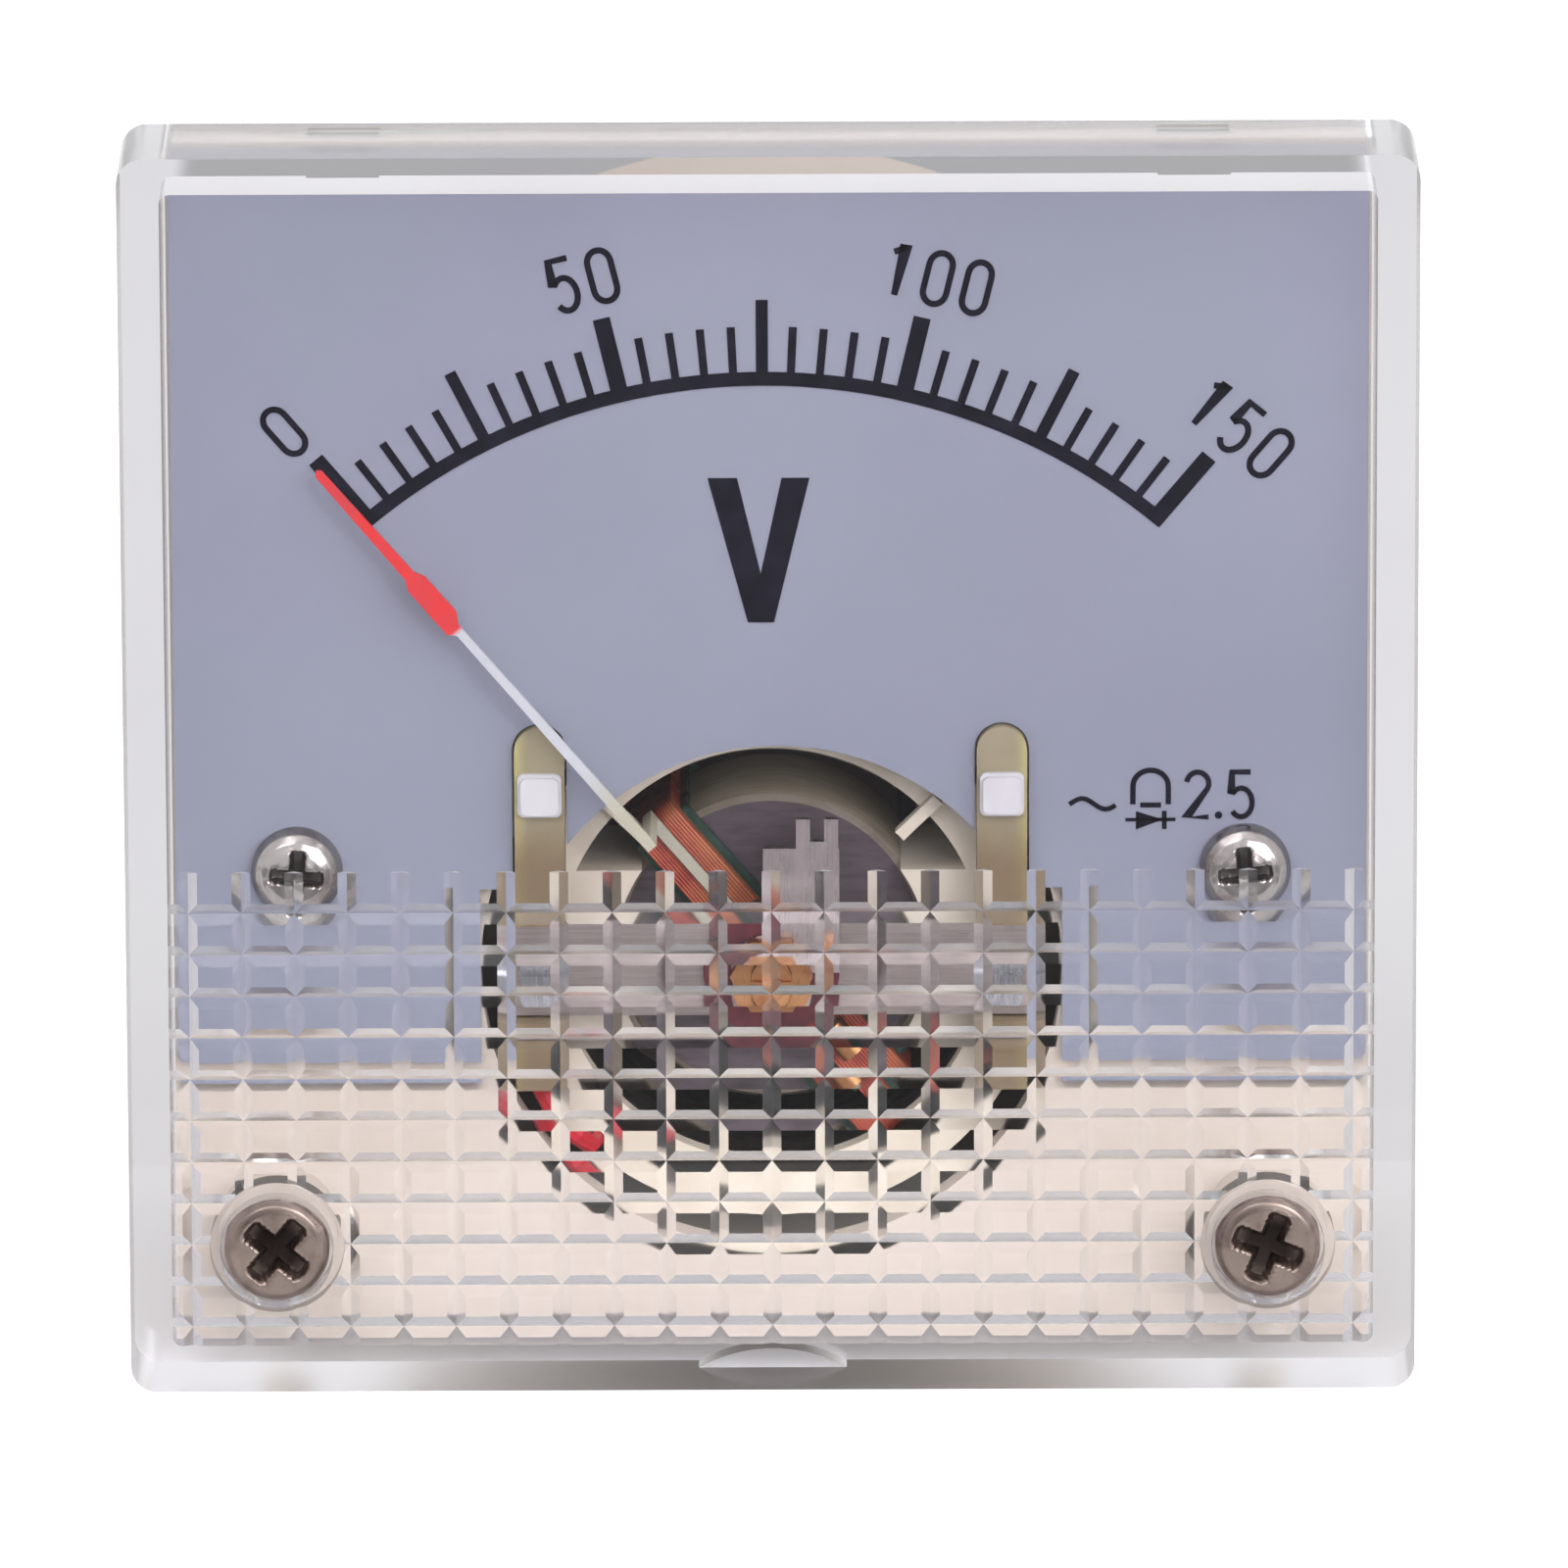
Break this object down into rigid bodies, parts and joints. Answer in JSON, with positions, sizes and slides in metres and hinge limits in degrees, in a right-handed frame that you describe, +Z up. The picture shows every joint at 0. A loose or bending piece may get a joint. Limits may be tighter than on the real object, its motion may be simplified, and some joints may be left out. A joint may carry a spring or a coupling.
{
  "type": "analog panel meter",
  "caption": "Square moving-coil panel voltmeter: clear prismatic cover, printed quarter-turn scale, sprung pointer, round case with rear terminals.",
  "frame": {"origin": "on the axis of the round case, in the plane of the panel (the rear face of the square flange)", "axes": "+X to the right of the face, +Y back through the panel along the case's axis, +Z up; the dial faces -Y"},
  "size_m": [0.064, 0.054, 0.063],
  "materials": {
    "clear_cover": "clear moulded plastic, polished outside, prismatic inside",
    "plated_screws": "nickel-plated steel, slightly dull",
    "case_plastic": "ivory moulded plastic",
    "brass": "turned, bright",
    "dial_paint": "grey-blue satin paint on aluminium",
    "dial_ink": "screen-printed ink, matte",
    "nylon": "olive-cream nylon",
    "white_plastic": "white plastic",
    "yoke_iron": "dark soft iron",
    "magnet_metal": "ground alloy magnet, olive grey",
    "bridge_metal": "plated steel, satin",
    "fine_steel": "polished steel",
    "red_fibre": "dark red fibre",
    "spring_bronze": "phosphor bronze ribbon",
    "former_lacquer": "dark green lacquer on aluminium",
    "copper_wire": "fine enamelled copper wire, varnished",
    "pointer_plastic": "red blade on a pale translucent arm",
    "nickel": "nickel plate",
    "board_laminate": "glass-fibre laminate",
    "diode_body": "black moulded body, tinned leads",
    "resistor_body": "pale blue lacquer with colour bands",
    "red_insulation": "red insulation",
    "blue_insulation": "blue insulation"
  },
  "bodies": {
    "meter": {"cover": "clear_cover", "cover_screws": "plated_screws", "case": "case_plastic", "mounting_studs": "brass", "dial_plate": "dial_paint", "scale_marks": "dial_ink", "dial_screws": "plated_screws", "movement_frame": "case_plastic", "frame_posts": "nylon", "frame_rivets": "white_plastic", "yoke_ring": "yoke_iron", "core_magnet": "magnet_metal", "front_bridge": "bridge_metal", "front_bridge_screws": "fine_steel", "rear_bridge": "bridge_metal", "rear_bridge_screws": "fine_steel", "front_jewel_screw": "brass", "rear_jewel_screw": "brass", "front_lock_nut": "brass", "rear_lock_nut": "brass", "fibre_washer": "red_fibre", "front_hairspring": "spring_bronze", "rear_hairspring": "spring_bronze", "terminal_studs": "brass", "terminal_lock_nuts": "nickel", "terminal_washers": "nickel", "terminal_nuts": "nickel", "circuit_board": "board_laminate", "diodes": "diode_body", "series_resistor": "resistor_body", "red_wire": "red_insulation", "blue_wire": "blue_insulation"},
    "coil": {"coil_former": "former_lacquer", "coil_winding": "copper_wire", "front_staff": "fine_steel", "rear_staff": "fine_steel", "pointer": "pointer_plastic", "balance_weights": "brass"},
    "zero_lever": {"zero_lever": "bridge_metal"}
  },
  "joints": [
    {"name": "pointer_swing", "type": "hinge", "parent": "meter", "child": "coil", "pos_m": [0, 0, -0.0087], "axis": [0, 1, 0], "range_deg": [0, 81], "stiffness_Nm_per_rad": 0.000005},
    {"name": "zero_set", "type": "hinge", "parent": "meter", "child": "zero_lever", "pos_m": [0, 0, -0.0087], "axis": [0, 1, 0], "range_deg": [-6, 6]}
  ]
}
